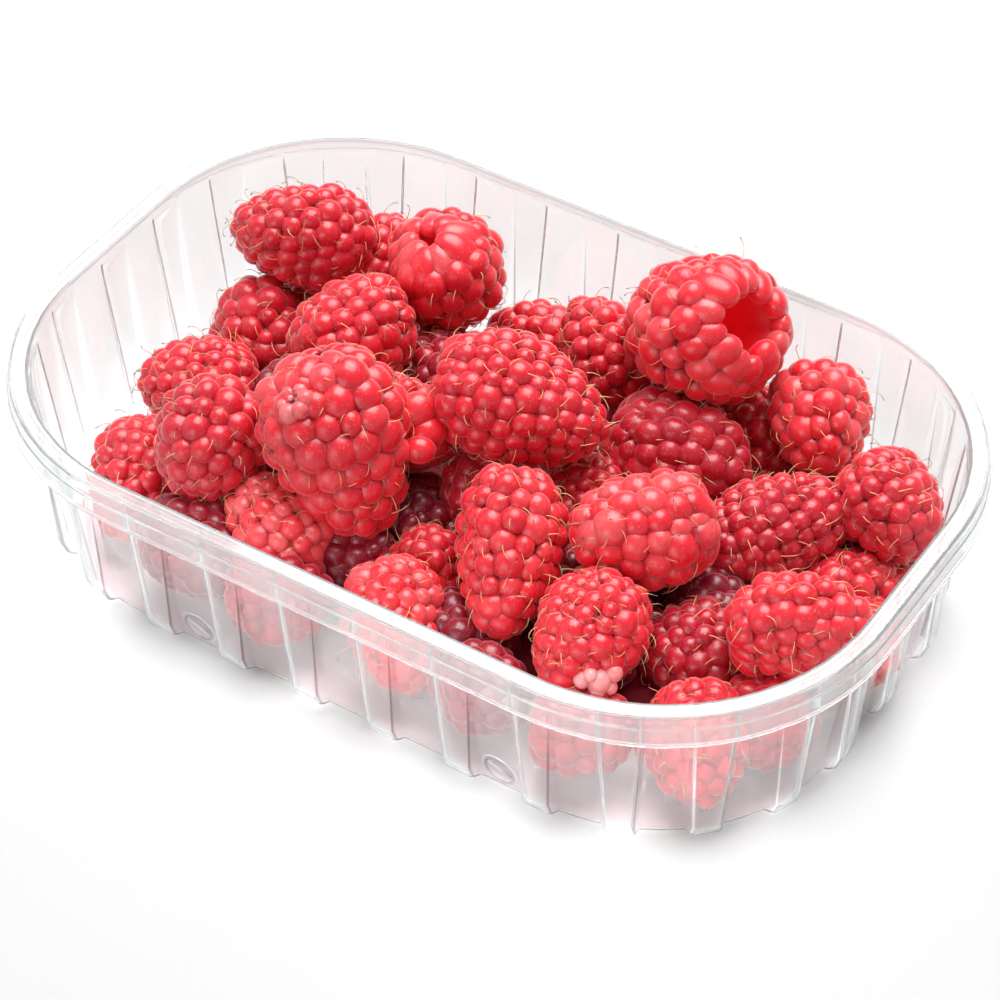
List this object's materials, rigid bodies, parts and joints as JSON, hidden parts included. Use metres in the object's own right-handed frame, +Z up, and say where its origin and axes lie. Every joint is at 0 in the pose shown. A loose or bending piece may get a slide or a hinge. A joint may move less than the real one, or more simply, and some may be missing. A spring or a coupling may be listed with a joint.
{
  "type": "punnet of raspberries",
  "caption": "Clear plastic tray with rounded ends, ribbed walls and a turned-down rim, loosely heaped with fresh raspberries.",
  "frame": {"origin": "centre of the tray's foot, on the surface that it stands on", "axes": "+Z up, +X along the tray's long side, -Y towards the front wall"},
  "size_m": [0.144, 0.096, 0.0428],
  "materials": {
    "clear_plastic": "clear, glossy, thin thermoformed sheet",
    "raspberry": "red, moist drupelets with fine golden hairs"
  },
  "bodies": {
    "root": {"tray": "clear_plastic", "raspberries": "raspberry"}
  },
  "joints": []
}
